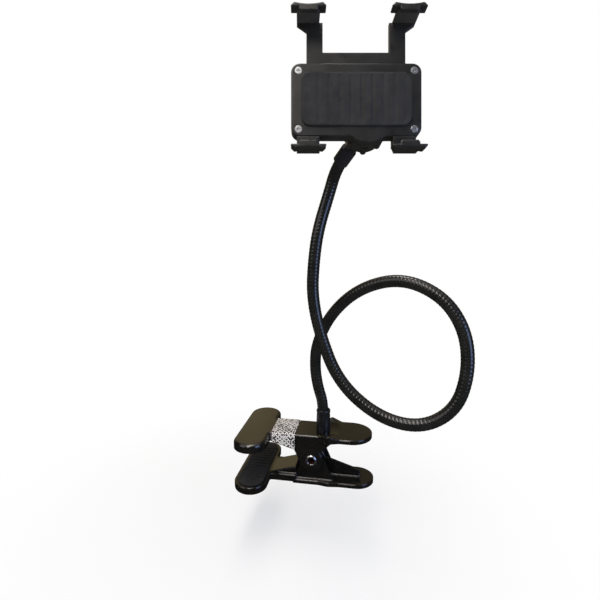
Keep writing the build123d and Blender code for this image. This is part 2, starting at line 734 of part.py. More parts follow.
# Sliding half of the cradle: slotted tongue, two arms and the upper claws
tongue_height = tongue_top - tongue_bottom
slot_height = upper_post + 2 * loop_radius - tongue_bottom
slide_arm = upper_face + claw_root - tongue_top
slide_columns = [cradle_mid - tongue_width / 2 + claw_reach / 2, cradle_mid + tongue_width / 2 - claw_reach / 2]
gusset_start = housing_top + slide_travel + 1
claw_side = claw_spacing / 2 + claw_arm_width / 2
with BuildPart() as upper_slide:
    with BuildSketch(cradle.offset(slide_back)):
        with Locations((cradle_mid, tongue_bottom + tongue_height / 2)):
            Rectangle(tongue_width, tongue_height)
        with Locations(*[(x, tongue_top + slide_arm / 2) for x in slide_columns]):
            Rectangle(claw_reach, slide_arm)
        for side in (-1, 1):
            with BuildLine():
                Polyline((cradle_mid + side * (tongue_width / 2 - 1), gusset_start),
                         (cradle_mid + side * tongue_width / 2, gusset_start), (cradle_mid + side * claw_side, upper_face),
                         (cradle_mid + side * (tongue_width / 2 - 1), upper_face),
                         (cradle_mid + side * (tongue_width / 2 - 1), gusset_start))
            make_face()
        with Locations(*[(x, tongue_bottom + slot_height / 2) for x in spring_columns]):
            Rectangle(spring_slot, slot_height, mode=Mode.SUBTRACT)
    extrude(amount=slide_thickness)
    for x in spring_columns:
        pin_centre = cradle.from_local_coords(Vector(x, upper_post, spring_level))
        with BuildSketch(Plane(pin_centre, x_dir=cradle.y_dir, z_dir=cradle.x_dir)):
            Circle(post_radius)
        extrude(amount=spring_slot / 2 + slide_gap, both=True)
    for x in claw_columns:
        with BuildSketch(side_plane(x)):
            with BuildLine():
                Polyline((upper_face, slide_back), (upper_face + claw_root + 1, slide_back),
                         (upper_face + claw_thickness / 2, claw_back),
                         (upper_face + claw_thickness / 2, claw_front - 1), (upper_face, claw_front - 1),
                         (upper_face, slide_back))
            make_face()
        extrude(amount=claw_arm_width / 2, both=True)
    with BuildSketch(cradle.offset(claw_back)):
        with Locations(*[(x, upper_face) for x in claw_columns]):
            add(claw_plan(), rotation=180)
    extrude(amount=claw_depth)
    with BuildSketch(cradle.offset(lip_back)):
        with Locations(*[(x, upper_face) for x in claw_columns]):
            add(lip_plan(), rotation=180)
    extrude(amount=lip_thickness)
    claw_faces = upper_slide.faces().sort_by(Axis(ball_centre, cradle_out))[-2:]
    chamfer(claw_faces.edges(), claw_round)
save(upper_slide.part, "upper_slide")

# Front plate, its four screws and the soft rest pad
with BuildPart() as holder_cover:
    with BuildSketch(cradle.offset(cover_back)):
        add(housing_plan())
    extrude(amount=cover_thickness)
    front_rim = holder_cover.faces().sort_by(Axis(ball_centre, cradle_out))[-1].edges()
    fillet(front_rim, cover_thickness / 3)
    for x, y in screw_places:
        with Locations(cradle.offset(cover_front)):
            with Locations((x, y)):
                CounterSinkHole(screw_radius + fit_gap, screw_head + fit_gap, depth=2 * cover_thickness)
save(holder_cover.part, "holder_cover")

with BuildPart() as cover_screws:
    for x, y in screw_places:
        screw = Plane(cradle.from_local_coords(Vector(x, y, cover_front)), x_dir=cradle.x_dir, z_dir=cradle_out)
        with BuildSketch(turning_plane(screw)):
            with BuildLine():
                Polyline((0, 0), (screw_head, 0), (screw_radius, screw_radius - screw_head),
                         (screw_radius, -screw_length), (0, -screw_length), (0, 0))
            make_face()
        revolve(axis=turning_axis(screw))
        with BuildSketch(screw):
            for angle in (0, 90):
                Rectangle(screw_head, screw_head / 4, rotation=angle)
        extrude(amount=-screw_head / 3, mode=Mode.SUBTRACT)
save(cover_screws.part, "cover_screws")

with BuildPart() as rest_pad:
    with BuildSketch(cradle.offset(cover_front)):
        with Locations((cradle_mid, housing_mid_y)):
            RectangleRounded(housing_width - 2 * rest_margin, housing_height - 2 * rest_margin, housing_corner)
    extrude(amount=rest_thickness)
    fillet(rest_pad.faces().sort_by(Axis(ball_centre, cradle_out))[-1].edges(), rest_thickness / 3)
save(rest_pad.part, "rest_pad")

# Soft linings of the claws
pad_depth = lip_back - cover_front


def claw_lining(face, side):
    """Two thin pads on the grip faces of a pair of claws."""
    with BuildPart() as lining:
        with BuildSketch(cradle.offset(cover_front)):
            with Locations(*[(x, face + side * claw_pad / 2) for x in claw_columns]):
                Rectangle(claw_pad_width, claw_pad)
        extrude(amount=pad_depth)
    return lining.part


save(claw_lining(lower_face, 1), "lower_claw_pads")
save(claw_lining(upper_face, -1), "upper_claw_pads")

# Two tension springs with a loop at each end, drawn as closed coils
with BuildPart() as slide_springs:
    for x in spring_columns:
        low_loop = Vector(x, lower_post, spring_level)
        high_loop = Vector(x, upper_post, spring_level)
        coil_foot = cradle.from_local_coords(low_loop + Vector(0, loop_radius, 0))
        with BuildSketch(Plane(coil_foot, x_dir=cradle.x_dir, z_dir=cradle.y_dir)):
            Circle(spring_radius)
        extrude(amount=upper_post - lower_post - 2 * loop_radius)
        with Locations(Plane(cradle.from_local_coords(low_loop), x_dir=cradle.x_dir, z_dir=cradle.z_dir)):
            Torus(loop_radius, loop_wire)
        with Locations(Plane(cradle.from_local_coords(high_loop), x_dir=cradle.y_dir, z_dir=cradle.x_dir)):
            Torus(loop_radius, loop_wire)
save(slide_springs.part, "slide_springs")
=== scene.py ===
import json
import logging
import math
from dataclasses import dataclass, field
from enum import Enum
from functools import cached_property
from typing import Sequence

import bpy
import numpy as np
from mathutils import Matrix, Vector


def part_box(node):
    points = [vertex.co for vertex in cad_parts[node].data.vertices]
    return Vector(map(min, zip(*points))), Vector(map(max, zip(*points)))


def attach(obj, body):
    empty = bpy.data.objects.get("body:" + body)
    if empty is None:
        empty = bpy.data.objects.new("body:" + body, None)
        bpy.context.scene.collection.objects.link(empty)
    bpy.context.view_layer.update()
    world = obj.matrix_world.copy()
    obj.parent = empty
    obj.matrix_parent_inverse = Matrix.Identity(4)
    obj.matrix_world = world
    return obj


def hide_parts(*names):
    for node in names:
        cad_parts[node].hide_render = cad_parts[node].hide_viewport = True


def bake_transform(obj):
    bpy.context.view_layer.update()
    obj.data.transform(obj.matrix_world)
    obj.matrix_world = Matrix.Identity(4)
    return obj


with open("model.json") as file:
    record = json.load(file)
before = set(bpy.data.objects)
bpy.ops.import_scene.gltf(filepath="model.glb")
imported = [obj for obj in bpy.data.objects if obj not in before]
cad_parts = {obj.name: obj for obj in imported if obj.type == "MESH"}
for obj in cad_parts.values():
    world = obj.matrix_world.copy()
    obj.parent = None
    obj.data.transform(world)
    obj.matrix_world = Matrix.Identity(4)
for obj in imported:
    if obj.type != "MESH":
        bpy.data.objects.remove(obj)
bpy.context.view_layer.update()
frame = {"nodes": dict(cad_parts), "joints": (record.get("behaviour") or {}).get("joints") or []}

log = logging.getLogger("gooseneck_holder")

MM = 0.001
Colour = tuple[float, float, float, float]
Point = tuple[float, float, float]
Span = tuple[float, float]
Faces = list[tuple[int, ...]]
Socket = bpy.types.NodeSocket


# ---- shader graphs and finishes

WHITE: Colour = (1.0, 1.0, 1.0, 1.0)
MIX_SHARE, MIX_FIRST, MIX_SECOND, MIX_RESULT = 0, 6, 7, 2
NOISE_ROUGHNESS = 0.55
DRAWN_STRETCH: Point = (1.0, 0.06, 1.0)
EDGE_SAMPLES = 6
GLOSS_DRIFT = 0.6
GLOW_WEIGHT = 0.5
WEAR_PATCH = 2.5 * MM
WEAR_MOST = 0.7
WEAR_SPREAD: Span = (0.45, 0.75)
WEAR_FACING: Span = (0.80, 0.97)
FIBRE = 0.25 * MM
# crest heights over which the painted shade between woven threads fades out
GROOVE_SHADE: Span = (0.35, 0.8)
# size of the reddish brown patches in the painted shade down the rivet's bore
BORE_SHADE_PATCH = 0.8 * MM
BORE_EDGE: Span = (1.03, 1.12)


class Graph:
    """Adds and links the nodes of one material or world."""

    def __init__(self, tree: bpy.types.NodeTree) -> None:
        """Start from an empty tree.

        Args:
            tree: node tree of the material or world.
        """
        self.tree = tree
        tree.nodes.clear()

    @cached_property
    def place(self) -> Socket:
        """Coordinates in metres, in the object's own frame.

        Returns:
            The coordinates.
        """
        return self.add("TexCoord").outputs["Object"]

    def add(self, kind: str, inputs: dict | None = None, **settings) -> bpy.types.Node:
        """Add one node.

        Args:
            kind: Blender's name of the node type, without the leading ShaderNode.
            inputs: value or source socket of each input, by the input's name or number.
            settings: properties of the node itself.

        Returns:
            The new node.
        """
        node = self.tree.nodes.new("ShaderNode" + kind)
        for name, value in settings.items():
            setattr(node, name, value)
        for name, value in (inputs or {}).items():
            if isinstance(value, Socket):
                self.tree.links.new(value, node.inputs[name])
            else:
                node.inputs[name].default_value = value
        return node

    def noise(self, size: float, detail: float, place: Socket | None = None) -> Socket:
        """Grey noise whose features are about a size across.

        Args:
            size: width of a feature in metres.
            detail: octaves of finer noise on top.
            place: coordinates in metres, where they aren't the object's own.

        Returns:
            The noise value, about 0 to 1.
        """
        node = self.add("TexNoise", {"Vector": self.place if place is None else place, "Scale": 1 / size,
                                     "Detail": detail, "Roughness": NOISE_ROUGHNESS})
        return node.outputs["Fac"]

    def spread(self, value: Socket, low: float, high: float,
               start: float = 0.3, end: float = 0.7) -> Socket:
        """Spread a value over a range.

        Args:
            value: value to spread.
            low: result at the start.
            high: result at the end.
            start: value that gives low.
            end: value that gives high.

        Returns:
            The value in its new range.
        """
        node = self.add("MapRange", {"Value": value, "From Min": start, "From Max": end,
                                     "To Min": low, "To Max": high}, clamp=True)
        return node.outputs["Result"]

    def blend(self, share: Socket, first: Colour | Socket,
              second: Colour | Socket) -> Socket:
        """Mix two colours.

        Args:
            share: 0 for the first, 1 for the second.
            first: first colour.
            second: second colour.

        Returns:
            The mixed colour.
        """
        node = self.add("Mix", {MIX_SHARE: share, MIX_FIRST: first, MIX_SECOND: second}, data_type="RGBA")
        return node.outputs[MIX_RESULT]

    def math(self, operation: str, first: float | Socket,
             second: float | Socket = 0.0) -> Socket:
        """One step of arithmetic.

        Args:
            operation: Blender's name of the operation.
            first: first value.
            second: second value.

        Returns:
            The result.
        """
        return self.add("Math", {0: first, 1: second}, operation=operation).outputs[0]


def new_material(name: str) -> tuple[bpy.types.Material, Graph]:
    """Make an empty material.

    Args:
        name: its name.

    Returns:
        The material and the graph of its nodes.
    """
    made = bpy.data.materials.new(name)
    made.use_nodes = True
    return made, Graph(made.node_tree)


class Grain(Enum):
    """What the fine relief of a surface is made of."""

    PEEL = "slow waves of a polished mould"
    SPARK = "fine spark-eroded stipple"
    CELLS = "pits of a foam or rubber skin"
    DRAWN = "lines along drawn or turned metal"
    THREADS = "fibres on modelled threads"


@dataclass(frozen=True)
class Finish:
    """One surface finish, made of nodes alone.

    The tone drifts between two colours, the gloss drifts between two roughnesses, and the relief is a
    bump of the given grain. Edges are rounded off for the light by edge, and worn a little paler there.
    """

    name: str
    colour: Colour
    second: Colour
    roughness: Span
    grain: Grain = Grain.PEEL
    grain_size: float = 1.5 * MM
    relief: float = 0.004 * MM
    tone_size: float = 9.0 * MM
    edge: float = 0.0
    wear: Colour | None = None
    metallic: float = 0.0
    specular: float = 0.5
    sheen: float = 0.0
    glow_depth: float = 0.0

    def height(self, graph: Graph) -> Socket:
        """Height of the fine relief.

        Args:
            graph: material being made.

        Returns:
            The height, about 0 to 1.
        """
        if self.grain is Grain.CELLS:
            cells = graph.add("TexVoronoi", {"Vector": graph.place, "Scale": 1 / self.grain_size},
                              feature="SMOOTH_F1")
            return cells.outputs["Distance"]
        if self.grain is Grain.DRAWN:
            long_way = graph.add("Mapping", {"Vector": graph.place, "Scale": DRAWN_STRETCH})
            return graph.noise(self.grain_size, 3.0, long_way.outputs["Vector"])
        return graph.noise(self.grain_size, 4.0 if self.grain is Grain.SPARK else 1.0)

    def tone(self, graph: Graph) -> Socket:
        """Colour of the surface before wear.

        Args:
            graph: material being made.

        Returns:
            The colour.
        """
        drift = graph.spread(graph.noise(self.tone_size, 3.0), 0.0, 1.0)
        return graph.blend(drift, self.colour, self.second)

    def material(self) -> bpy.types.Material:
        """Build the finish, or give the one that was built before.

        Returns:
            The material.
        """
        known = bpy.data.materials.get(self.name)
        if known:
            return known
        made, graph = new_material(self.name)
        gloss = graph.spread(graph.noise(self.tone_size * GLOSS_DRIFT, 4.0), *self.roughness)
        colour = self.tone(graph)
        bump_inputs = {"Height": self.height(graph), "Distance": self.relief, "Strength": 1.0}
        if self.edge:
            rounded = graph.add("Bevel", {"Radius": self.edge}, samples=EDGE_SAMPLES).outputs["Normal"]
            bump_inputs["Normal"] = rounded
            if self.wear:
                colour = graph.blend(self.rubbed(graph, rounded), colour, self.wear)
        shader = graph.add("BsdfPrincipled", {
            "Base Color": colour,
            "Roughness": gloss,
            "Metallic": self.metallic,
            "Specular IOR Level": self.specular,
            "Sheen Weight": self.sheen,
            "Normal": graph.add("Bump", bump_inputs).outputs["Normal"],
        })
        if self.glow_depth:
            shader.inputs["Subsurface Weight"].default_value = GLOW_WEIGHT
            shader.inputs["Subsurface Scale"].default_value = self.glow_depth
        graph.add("OutputMaterial", {"Surface": self.surface(graph, shader.outputs["BSDF"])})
        return made

    def surface(self, graph: Graph, shader: Socket) -> Socket:
        """Last step before the output; a plain finish leaves its shader as it is.

        Args:
            graph: material being made.
            shader: shader of the finish.

        Returns:
            The shader to show.
        """
        return shader

    @staticmethod
    def rubbed(graph: Graph, rounded: Socket) -> Socket:
        """Share of wear: along the edges, in patches.

        Args:
            graph: material being made.
            rounded: normal with rounded edges.

        Returns:
            The share, 0 to 1.
        """
        flat = graph.add("NewGeometry").outputs["Normal"]
        facing = graph.add("VectorMath", {0: rounded, 1: flat}, operation="DOT_PRODUCT").outputs["Value"]
        edge = graph.spread(facing, 1.0, 0.0, *WEAR_FACING)
        patches = graph.spread(graph.noise(WEAR_PATCH, 4.0), 0.0, WEAR_MOST, *WEAR_SPREAD)
        return graph.math("MULTIPLY", edge, patches)


@dataclass(frozen=True)
class WovenFinish(Finish):
    """Finish of the woven band: silver and black threads, told apart by an attribute of the mesh, with
    painted shade down between the threads.
    """

    # the black threads' own colour, and also the colour of the painted shade between the threads
    dark: Colour = (0.012, 0.011, 0.012, 1.0)

    def tone(self, graph: Graph) -> Socket:
        """Colour of each thread, with painted shade darkening it down between the threads.

        Args:
            graph: material being made.

        Returns:
            The colour.
        """
        silver = graph.add("Attribute", attribute_name="silver").outputs["Fac"]
        crest = graph.add("Attribute", attribute_name="crest").outputs["Fac"]
        fibres = graph.spread(graph.noise(FIBRE, 3.0), 0.0, 1.0)
        bright = graph.blend(fibres, self.colour, self.second)
        thread = graph.blend(silver, self.dark, bright)
        # painted shade: the lower a thread's crest, the nearer its colour goes to dark
        return graph.blend(graph.spread(crest, 1.0, 0.0, *GROOVE_SHADE), thread, self.dark)


@dataclass(frozen=True)
class BoredFinish(Finish):
    """Bright plating with painted shade down a bore along y: a dull, near-black wall, reddish brown in
    patches.
    """

    bore_at: Span = (0.0, 0.0)
    bore_radius: float = 1.0 * MM
    # colours of the painted shade down the bore: near-black, with reddish brown in patches
    dark: Colour = (0.010, 0.005, 0.004, 1.0)
    bore_shade_brown: Colour = (0.045, 0.016, 0.012, 1.0)

    def surface(self, graph: Graph, shader: Socket) -> Socket:
        """The plating outside, painted shade on the dull wall down the bore.

        Args:
            graph: material being made.
            shader: shader of the plating.

        Returns:
            The shader to show.
        """
        axes = graph.add("SeparateXYZ", {0: graph.place}).outputs
        across = [graph.math("SUBTRACT", axes[axis], middle)
                  for axis, middle in zip("XZ", self.bore_at)]
        squares = [graph.math("MULTIPLY", value, value) for value in across]
        away = graph.math("SQRT", graph.math("ADD", *squares))
        plated = graph.spread(away, 0.0, 1.0, *(self.bore_radius * edge for edge in BORE_EDGE))
        # painted shade down the bore: a dull diffuse wall, near-black with reddish brown patches, in place of
        # the plating
        bore_shade_brown = graph.blend(graph.noise(BORE_SHADE_PATCH, 3.0), self.dark, self.bore_shade_brown)
        painted_bore_shade = graph.add("BsdfDiffuse", {"Color": bore_shade_brown}).outputs[0]
        return graph.add("MixShader", {0: plated, 1: painted_bore_shade, 2: shader}).outputs[0]


GLOSS_BLACK = Finish("clamp_gloss_black", (0.0055, 0.0050, 0.0045, 1), (0.0095, 0.0088, 0.0076, 1),
                     (0.06, 0.15), relief=0.005 * MM, edge=2.0 * MM, wear=(0.022, 0.020, 0.018, 1),
                     specular=0.8)
SATIN_BLACK = Finish("cradle_satin_black", (0.011, 0.0108, 0.0098, 1), (0.019, 0.0185, 0.017, 1), (0.27, 0.4),
                     Grain.SPARK, 0.35 * MM, 0.012 * MM, edge=0.8 * MM, wear=(0.04, 0.039, 0.036, 1))
FERRULE_BLACK = Finish("ferrule_black", (0.010, 0.0098, 0.0118, 1), (0.017, 0.0165, 0.020, 1), (0.12, 0.22),
                       relief=0.006 * MM, edge=0.3 * MM, wear=(0.09, 0.09, 0.1, 1))
ARM_SKIN = Finish("arm_skin_black", (0.0095, 0.0095, 0.0088, 1), (0.017, 0.0168, 0.0152, 1), (0.13, 0.21),
                  Grain.SPARK, 0.8 * MM, 0.008 * MM)
BALL_BLACK = Finish("ball_black", (0.012, 0.012, 0.012, 1), (0.02, 0.02, 0.02, 1), (0.14, 0.26),
                    edge=0.25 * MM)
NYLON = Finish("seat_nylon", (0.62, 0.60, 0.54, 1), (0.72, 0.70, 0.64, 1), (0.3, 0.45), Grain.SPARK,
               0.5 * MM, 0.01 * MM, edge=0.25 * MM, glow_depth=1.2 * MM)
PAD_RUBBER = Finish("pad_foam_rubber", (0.012, 0.0116, 0.0112, 1), (0.022, 0.0213, 0.0205, 1), (0.62, 0.82),
                    Grain.CELLS, 0.45 * MM, 0.05 * MM, specular=0.35, sheen=0.06)
# rivet plating, with painted shade down its bore
CHROME = BoredFinish("rivet_plating", (0.78, 0.76, 0.74, 1), (0.88, 0.87, 0.86, 1), (0.2, 0.32), Grain.PEEL,
                     1.0 * MM, 0.004 * MM, metallic=1.0, bore_at=(42.7 * MM, -12.0 * MM),
                     bore_radius=2.45 * MM)
SPRING_STEEL = Finish("spring_drawn_wire", (0.30, 0.29, 0.28, 1), (0.42, 0.41, 0.40, 1), (0.22, 0.4),
                      Grain.DRAWN, 0.12 * MM, 0.01 * MM, metallic=1.0)
ZINC = Finish("zinc_plating", (0.45, 0.46, 0.47, 1), (0.60, 0.61, 0.62, 1), (0.28, 0.46), Grain.DRAWN,
              0.2 * MM, 0.008 * MM, tone_size=2.5 * MM, edge=0.25 * MM, metallic=1.0)
BAND_WEAVE = WovenFinish("band_weave", (0.80, 0.745, 0.69, 1), (1.0, 0.945, 0.89, 1), (0.3, 0.5),
                         Grain.THREADS, 0.2 * MM, 0.02 * MM, specular=0.6)


# ---- places and mesh tools

CORNERS = np.array(((1, 1), (-1, 1), (-1, -1), (1, -1)))


class Places:
    """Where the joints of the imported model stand, at rest."""

    def __init__(self, joints: Sequence[dict]) -> None:
        """Keep the joints by name.

        Args:
            joints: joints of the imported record.
        """
        self.joints = {joint["name"]: joint for joint in joints}

    def at(self, name: str) -> Vector:
        """A point on a joint's axis.

        Args:
            name: name of the joint.

        Returns:
            The point, in metres.
        """
        return Vector(self.joints[name]["pos_m"])

    def axis(self, name: str) -> Vector:
        """A joint's direction.

        Args:
            name: name of the joint.

        Returns:
            The direction, one unit long.
        """
        return Vector(self.joints[name]["axis"]).normalized()

    def cradle(self) -> Matrix:
        """Frame of the cradle.

        Returns:
            Matrix whose origin is the ball's centre, x to the cradle's right, y up it and z to its front.
        """
        up, out = self.axis("jaw_slide"), self.axis("holder_roll")
        right = up.cross(out)
        made = Matrix((right, up, out)).transposed().to_4x4()
        made.translation = self.at("holder_roll")
        return made


def put(name: str, data: bpy.types.ID) -> bpy.types.Object:
    """Make an object and link it to the scene.

    Args:
        name: name of the object.
        data: its mesh, lamp or camera.

    Returns:
        The new object.
    """
    made = bpy.data.objects.new(name, data)
    bpy.context.scene.collection.objects.link(made)
    return made


def quads(count: int, sides: int, loop: bool = False) -> Faces:
    """Faces between closed rings of points.

    Args:
        count: number of rings.
        sides: points of each ring.
        loop: also join the last ring to the first.

    Returns:
        Four corner numbers for each face.
    """
    faces: Faces = []
    for ring in range(count if loop else count - 1):
        low, high = ring * sides, (ring + 1) % count * sides
        for side in range(sides):
            after = (side + 1) % sides
            faces.append((low + side, low + after, high + after, high + side))
    return faces


class Shape:
    """Vertices and faces of one piece, put together before it becomes an object."""

    def __init__(self) -> None:
        """Start with nothing."""
        self.vertices: list[np.ndarray] = []
        self.faces: Faces = []
        self.count = 0

    def add(self, vertices: np.ndarray, faces: Faces) -> None:
        """Add a closed body.

        Args:
            vertices: points, one row each, in metres.
            faces: corner numbers of each face within these points.
        """
        self.faces += [tuple(i + self.count for i in face) for face in faces]
        self.vertices.append(vertices)
        self.count += len(vertices)

    def rings(self, points: np.ndarray, loop: bool = False) -> "Shape":
        """Add a body through closed rings of points.

        Args:
            points: rings by corners by 3, each ring in the same sense about the way along the body.
            loop: join the last ring to the first, where otherwise both ends are filled.

        Returns:
            The same shape.
        """
        count, sides = points.shape[:2]
        faces = quads(count, sides, loop)
        if not loop:
            last = (count - 1) * sides
            faces = [tuple(range(sides))[::-1], *faces, tuple(range(last, last + sides))]
        self.add(points.reshape(-1, 3), faces)
        return self

    def build(self, name: str, finish: Finish, crease: float = 40.0) -> bpy.types.Object:
        """Make the object.

        Args:
            name: name of the piece.
            finish: its finish.
            crease: angle in degrees above which an edge stays sharp.

        Returns:
            The new object, at the origin.
        """
        mesh = bpy.data.meshes.new(name)
        mesh.from_pydata(np.concatenate(self.vertices).tolist(), [], self.faces)
        mesh.polygons.foreach_set("use_smooth", [True] * len(mesh.polygons))
        mesh.set_sharp_from_angle(angle=math.radians(crease))
        mesh.materials.append(finish.material())
        mesh.update()
        return put(name, mesh)


def turned_least(line: np.ndarray) -> tuple[np.ndarray, np.ndarray]:
    """Two directions across a line at each point, turned as little as can be from point to point.

    Args:
        line: points of the line, one row each.

    Returns:
        The first and the second direction at each point.
    """
    tangents = np.gradient(line, axis=0)
    tangents /= np.linalg.norm(tangents, axis=1)[:, None]
    first = np.cross(tangents[0], (0.0, 1.0, 0.0) if abs(tangents[0][1]) < 0.9 else (1.0, 0.0, 0.0))
    normals = [first / np.linalg.norm(first)]
    for tangent in tangents[1:]:
        kept = normals[-1] - tangent * (normals[-1] @ tangent)
        normals.append(kept / np.linalg.norm(kept))
    across = np.array(normals)
    return across, np.cross(tangents, across)


def tube_rings(line: np.ndarray, radii: np.ndarray | float, sides: int) -> np.ndarray:
    """Rings of points round a line.

    Args:
        line: points of the centreline, one row each.
        radii: one radius, one per point, or one per point and side.
        sides: corners of each ring.

    Returns:
        Rings by corners by 3.
    """
    normal, binormal = turned_least(line)
    turn = np.arange(sides) * 2 * math.pi / sides
    spokes = (normal[:, None, :] * np.cos(turn)[None, :, None]
              + binormal[:, None, :] * np.sin(turn)[None, :, None])
    padded_shape = np.shape(radii) + (1,) * (2 - np.ndim(radii))
    reach = np.broadcast_to(np.asarray(radii, float).reshape(padded_shape), (len(line), sides))
    return line[:, None, :] + spokes * reach[:, :, None]


def even_steps(line: np.ndarray, step: float) -> tuple[np.ndarray, np.ndarray]:
    """Points at even steps along a line.

    Args:
        line: points of the line, one row each.
        step: distance between new points.

    Returns:
        The new points, and the distance along the line of each.
    """
    runs = np.linalg.norm(np.diff(line, axis=0), axis=1)
    along = np.concatenate(([0.0], np.cumsum(runs)))
    wanted = np.linspace(0.0, along[-1], int(round(along[-1] / step)) + 1)
    return np.column_stack([np.interp(wanted, along, line[:, i]) for i in range(3)]), wanted


def smooth_route(points: Sequence[Vector], steps: int) -> np.ndarray:
    """Points along the smooth spline that a route's corner points control.

    Args:
        points: corner points of the route.
        steps: points made for each of them.

    Returns:
        The points in order, one row each.
    """
    curve = bpy.data.curves.new("route", "CURVE")
    curve.dimensions = "3D"
    curve.resolution_u = steps
    spline = curve.splines.new("NURBS")
    spline.points.add(len(points) - 1)
    for control, point in zip(spline.points, points):
        control.co = (*point, 1.0)
    spline.order_u = 3
    spline.use_endpoint_u = True
    holder = bpy.data.objects.new("route", curve)
    mesh = bpy.data.meshes.new_from_object(holder)
    line = np.array([vertex.co for vertex in mesh.vertices], float)
    bpy.data.objects.remove(holder)
    bpy.data.curves.remove(curve)
    bpy.data.meshes.remove(mesh)
    return line


def placed(points: np.ndarray, frame_of: Matrix) -> np.ndarray:
    """Points moved from a local frame to the row frame.

    Args:
        points: points, in any shape whose last axis is 3.
        frame_of: local frame.

    Returns:
        The moved points, in the same shape.
    """
    matrix = np.array(frame_of)
    return points @ matrix[:3, :3].T + matrix[:3, 3]


def box_in(node: str, frame_of: Matrix) -> tuple[np.ndarray, np.ndarray]:
    """Box of a CAD node in a local frame.

    Args:
        node: name of the node.
        frame_of: local frame.

    Returns:
        Its lowest and its highest corner.
    """
    inside = frame_of.inverted()
    corners = np.array([inside @ vertex.co for vertex in frame["nodes"][node].data.vertices])
    return corners.min(axis=0), corners.max(axis=0)


def dress(finish: Finish, *nodes: str) -> None:
    """Give CAD nodes their finish.

    Args:
        finish: finish to give.
        nodes: names of the nodes.
    """
    for node in nodes:
        mesh = frame["nodes"][node].data
        mesh.materials.clear()
        mesh.materials.append(finish.material())
        log.info("%s finished as %s", node, finish.name)


def settle(piece: bpy.types.Object, slot: str, *nodes: str) -> bpy.types.Object:
    """Hide the CAD nodes that a new piece stands for, and log the piece.

    Args:
        piece: new piece.
        slot: material slot of the record; not used.
        nodes: CAD nodes that it replaces.

    Returns:
        The same piece.
    """
    if nodes:
        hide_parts(*nodes)
    log.info("%s built, %d faces", piece.name, len(piece.data.polygons))
    return piece


@dataclass
class PadForm:
    """A moulded pad: a rounded outline with a rounded edge, a crown and grooves across its length."""

    width: float
    height: float
    corner: float
    thickness: float
    edge: float
    crown: float = 0.0
    groove_pitch: float = 0.0
    groove_depth: float = 0.0
    groove_width: float = 0.12
    edge_steps: int = 4
    corner_steps: int = 8
    side_step: float = 0.5 * MM
    inner_rings: int = 10
    innermost: float = 0.999

    def outline(self, inset: float) -> np.ndarray:
        """Outline of the pad, drawn in by an inset.

        Args:
            inset: distance from the pad's edge.

        Returns:
            Points in order, one row each.
        """
        radius = max(self.corner - inset, 0.0)
        spans = np.array((self.width, self.height))
        middles = CORNERS * (spans / 2 - inset - radius)
        counts = [max(2, int((span - 2 * self.corner) / self.side_step)) for span in spans]
        steps = np.arange(self.corner_steps + 1) / self.corner_steps * math.pi / 2
        parts: list[np.ndarray] = []
        for quarter, middle in enumerate(middles):
            turn = quarter * math.pi / 2 + steps
            spokes = radius * np.column_stack([np.cos(turn), np.sin(turn)])
            here, there = middle + spokes[-1], middles[(quarter + 1) % 4] + spokes[-1]
            count = counts[quarter % 2]
            share = np.arange(1, count)[:, None] / count
            parts += [middle + spokes, here + (there - here) * share]
        return np.concatenate(parts)

    def relief(self, plan: np.ndarray, inset: float) -> np.ndarray:
        """How far the top lies below the pad's full thickness.

        Args:
            plan: points of one ring.
            inset: its distance from the edge.

        Returns:
            One depth for each point.
        """
        share = min(1.0, inset / (min(self.width, self.height) / 2))
        depth = np.full(len(plan), self.crown * (1 - share) ** 2)
        if self.groove_pitch:
            wave = np.abs(np.sin(math.pi * plan[:, 0] / self.groove_pitch))
            fade = min(1.0, max(0.0, (inset - self.edge) / (2 * self.edge)))
            depth += self.groove_depth * fade * np.exp(-((1 - wave) / self.groove_width) ** 2)
        return depth

    def points(self) -> np.ndarray:
        """Rings of the pad from its back to the middle of its top.

        Returns:
            Rings by corners by 3, with z from 0 at the back to the thickness.
        """
        middle = min(self.width, self.height) / 2
        levels = [(0.0, 0.0), (0.0, self.thickness - self.edge - self.crown)]
        for step in range(1, self.edge_steps + 1):
            angle = step / self.edge_steps * math.pi / 2
            levels.append((self.edge * (1 - math.cos(angle)),
                           self.thickness - self.crown - self.edge * (1 - math.sin(angle))))
        rings = [np.insert(self.outline(inset), 2, z, axis=1) for inset, z in levels]
        for step in range(1, self.inner_rings + 1):
            inset = self.edge + (middle - self.edge) * min(step / self.inner_rings, self.innermost)
            plan = self.outline(inset)
            rings.append(np.column_stack([plan, self.thickness - self.relief(plan, inset)]))
        return np.array(rings)


# ---- the clamp


